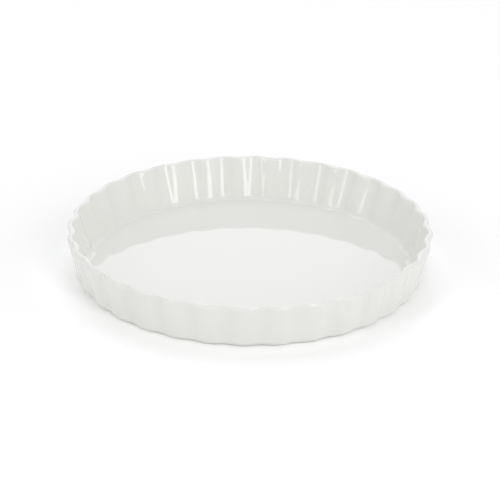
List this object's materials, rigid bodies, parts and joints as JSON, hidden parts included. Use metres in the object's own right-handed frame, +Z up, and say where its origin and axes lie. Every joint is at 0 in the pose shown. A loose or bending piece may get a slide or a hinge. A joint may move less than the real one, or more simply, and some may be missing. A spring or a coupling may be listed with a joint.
{
  "type": "fluted quiche dish",
  "caption": "Round, shallow, open-topped quiche dish of white glazed porcelain with a fluted, outward-leaning wall, a wavy rounded lip and a flat floor on a low foot ring.",
  "frame": {"origin": "middle of the dish, in the plane of the foot ring's lower face that the dish stands on", "axes": "+Z up along the dish's middle line; +X and +Y each point through the middle of one flute's lobe"},
  "size_m": [0.28, 0.28, 0.036],
  "materials": {
    "porcelain": "gloss white glaze"
  },
  "bodies": {
    "root": {"dish": "porcelain"}
  },
  "joints": []
}
